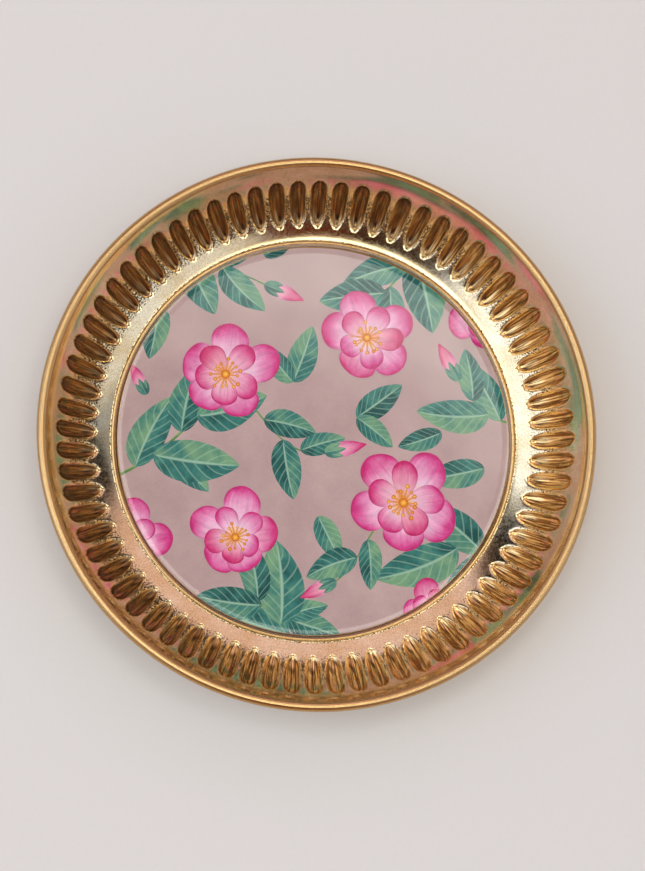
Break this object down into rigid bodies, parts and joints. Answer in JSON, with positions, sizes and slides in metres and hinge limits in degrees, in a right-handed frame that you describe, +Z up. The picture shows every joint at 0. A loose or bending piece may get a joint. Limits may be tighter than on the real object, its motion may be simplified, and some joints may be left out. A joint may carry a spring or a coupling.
{
  "type": "brass plate",
  "caption": "Shallow round brass plate with a fluted border, a rolled rim and a floral printed floor under clear resin.",
  "frame": {"origin": "on the table, under the middle of the plate's flat base", "axes": "+Z up along the plate's axis, out of the printed floor; X and Y lie in the table, +Y towards the top of the print"},
  "size_m": [0.152, 0.152, 0.02],
  "materials": {
    "brass": "polished, lightly aged",
    "adhesive": "matt",
    "print": "printed, matt",
    "resin": "clear, glossy"
  },
  "bodies": {
    "root": {"brass_dish": "brass", "print_adhesive": "adhesive", "printed_disc": "print", "resin_coat": "resin"}
  },
  "joints": []
}
